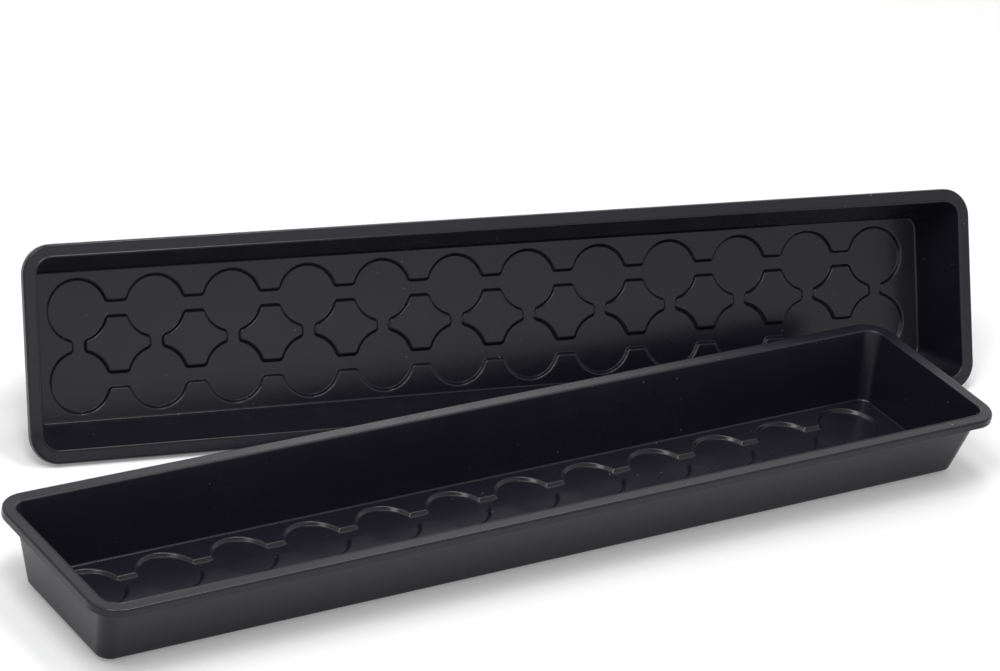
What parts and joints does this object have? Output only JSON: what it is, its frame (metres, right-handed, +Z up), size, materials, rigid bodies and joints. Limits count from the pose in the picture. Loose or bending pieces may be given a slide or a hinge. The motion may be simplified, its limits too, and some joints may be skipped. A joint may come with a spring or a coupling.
{
  "type": "seed tray",
  "caption": "Long shallow windowsill trays with flared walls, a flat turned-down rim and a floor of linked round pot recesses; one lies flat and its twin stands on its long side.",
  "frame": {"origin": "on the ground, below the centre of the box round the pair", "axes": "+X along the lying tray's length, towards the end where the two trays come close; +Y from the lying tray to the standing one; +Z up"},
  "size_m": [0.851, 0.3596, 0.1426],
  "materials": {
    "lying_tray": "satin",
    "standing_tray": "satin"
  },
  "bodies": {
    "lying_tray_body": {"lying_tray": "lying_tray"},
    "standing_tray_body": {"standing_tray": "standing_tray"}
  },
  "joints": [
    {"name": "standing_tray_lift", "type": "slide", "parent": "lying_tray_body", "child": "standing_tray_body", "axis": [0.082, 0.4218, 0.903], "range_m": [0, 0.25]}
  ]
}
